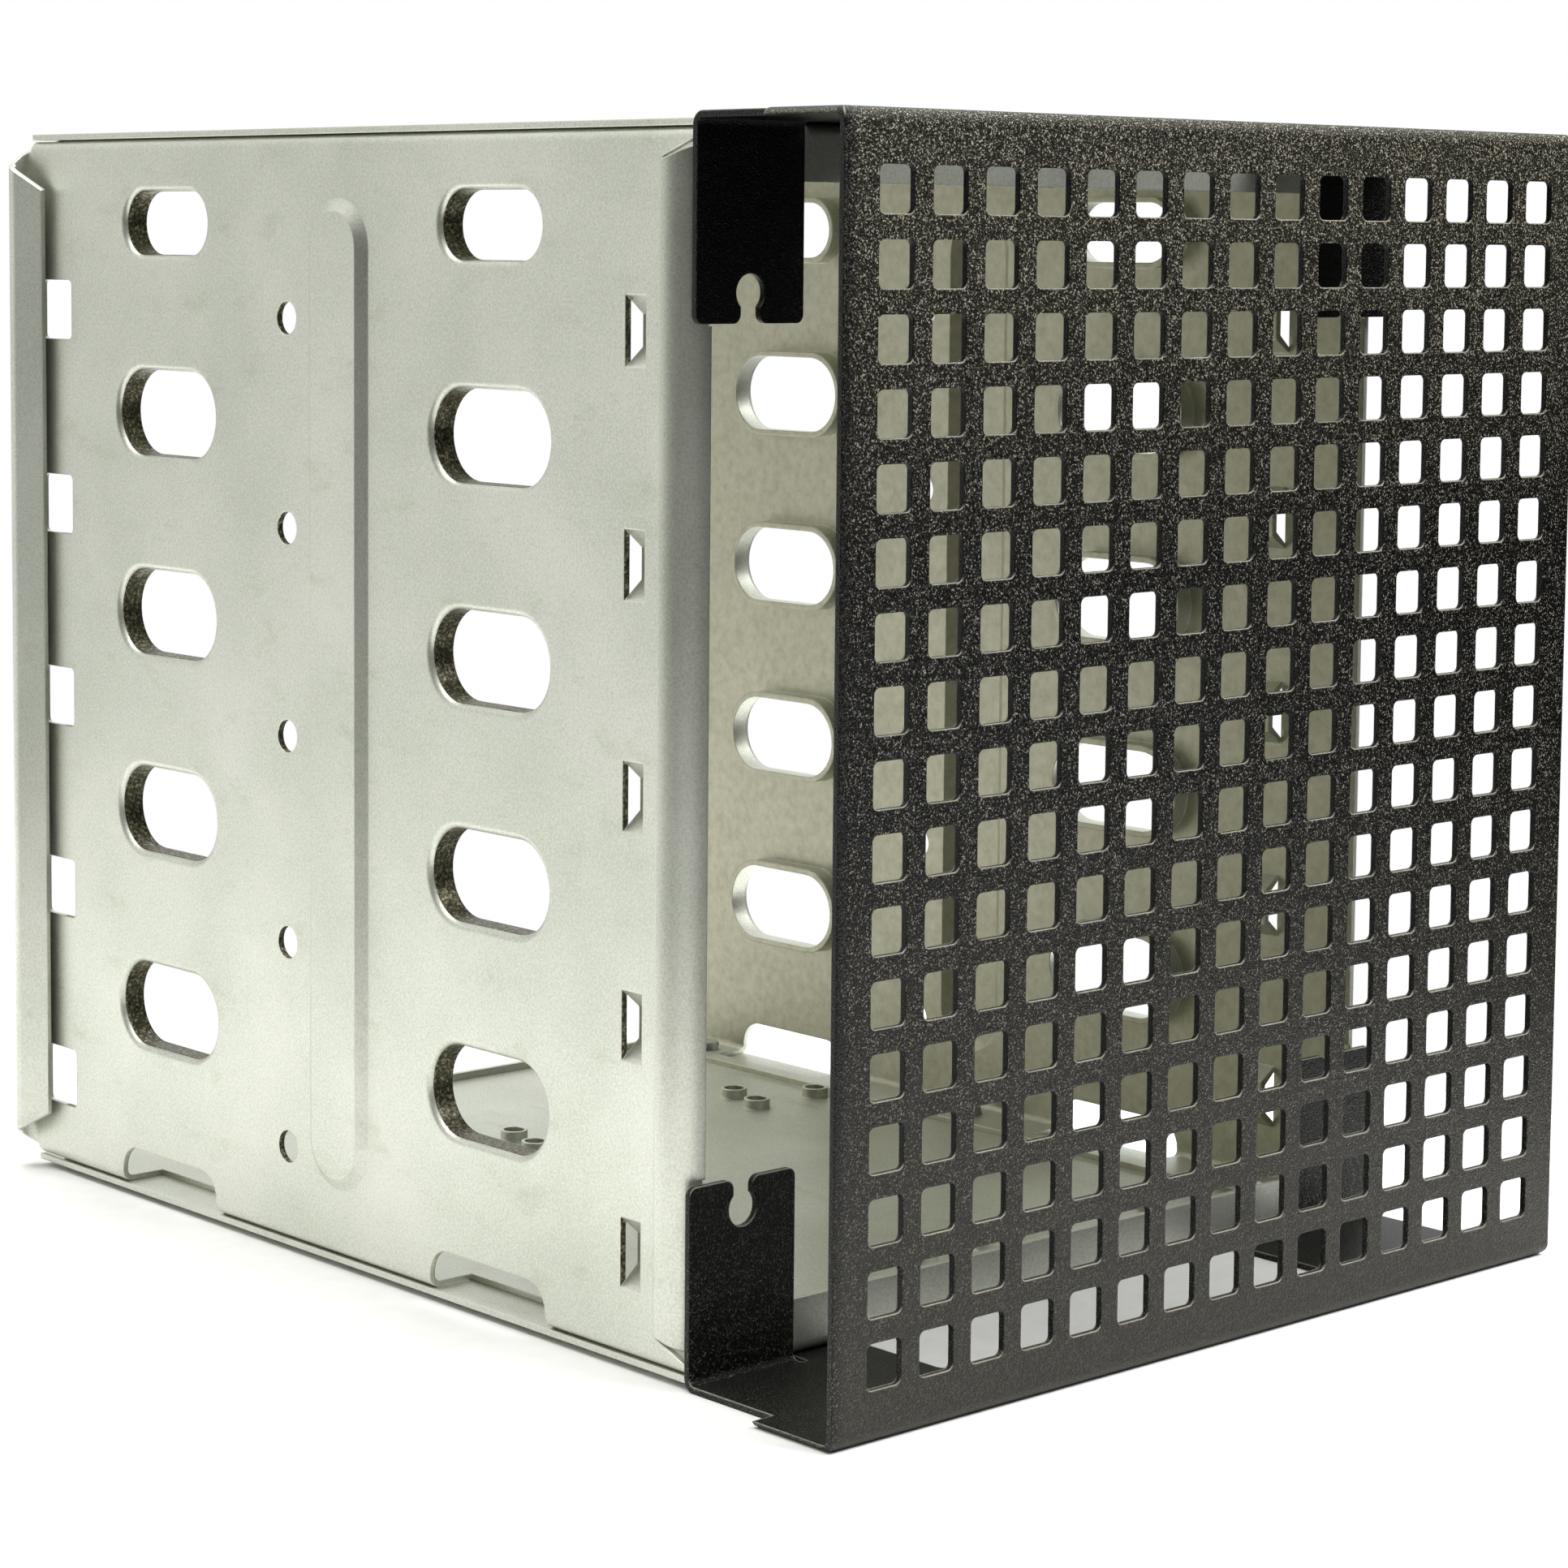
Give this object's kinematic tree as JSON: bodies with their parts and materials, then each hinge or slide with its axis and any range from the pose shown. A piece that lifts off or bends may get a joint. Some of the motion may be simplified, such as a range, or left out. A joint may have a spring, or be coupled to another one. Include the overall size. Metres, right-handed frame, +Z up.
{
  "type": "drive bay adapter",
  "caption": "Sheet steel cage that turns three 5.25 inch bays into 3.5 inch drive slots, with a perforated black front and room for a fan behind it.",
  "frame": {"origin": "middle of the underside of the bounding box, as the object stands in the picture", "axes": "+X to the right seen from the perforated front, +Y from the front to the open rear, +Z up; in a computer case +X is the height direction of the bays and Z their width"},
  "size_m": [0.1274, 0.1702, 0.1454],
  "materials": {
    "black_coat": "matt black powder coat with fine sparkle over steel sheet",
    "zinc_sheet": "satin galvanised steel sheet",
    "rivet": "satin",
    "screw": "zinc plated"
  },
  "bodies": {
    "root": {"front_bezel": "black_coat", "left_side_panel": "zinc_sheet", "right_side_panel": "zinc_sheet", "bottom_plate": "zinc_sheet", "top_plate": "zinc_sheet", "bottom_left_rivets": "rivet", "bottom_right_rivets": "rivet", "top_left_rivets": "rivet", "top_right_rivets": "rivet", "bottom_bezel_screws": "screw", "top_bezel_screws": "screw"}
  },
  "joints": []
}
